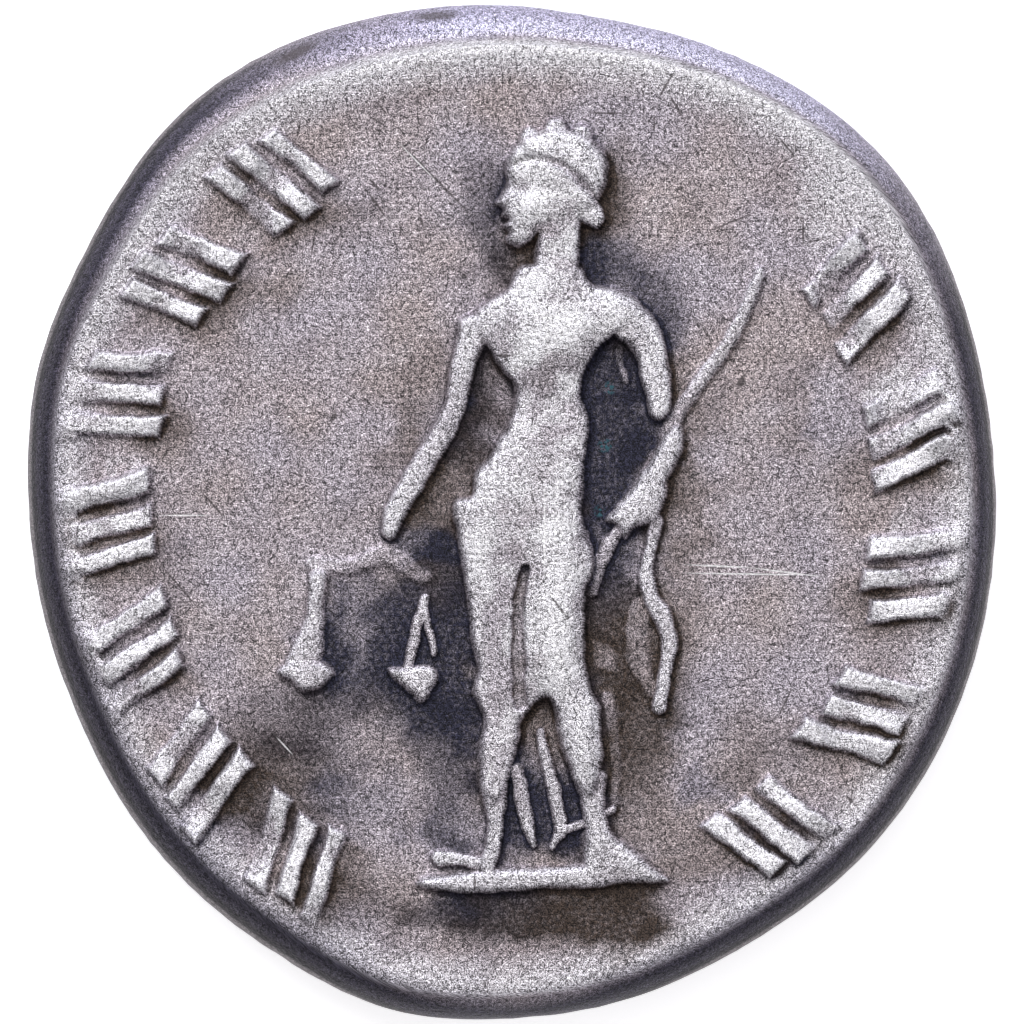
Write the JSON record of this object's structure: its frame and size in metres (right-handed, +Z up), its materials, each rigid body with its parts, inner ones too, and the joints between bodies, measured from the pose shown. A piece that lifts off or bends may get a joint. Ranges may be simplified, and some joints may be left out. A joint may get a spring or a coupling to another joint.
{
  "type": "ancient silver denarius coin",
  "caption": "Worn struck silver coin lying flat, with a standing draped figure with scales in low relief on top and a laureate head in profile below.",
  "frame": {"origin": "middle of the coin's outline, on the surface that the coin lies on", "axes": "+Z up through the face with the standing figure, +Y towards the figure's head, along the coin's longer diameter"},
  "size_m": [0.0172, 0.018, 0.0021],
  "materials": {
    "silver": "satin"
  },
  "bodies": {
    "root": {"coin": "silver"}
  },
  "joints": []
}
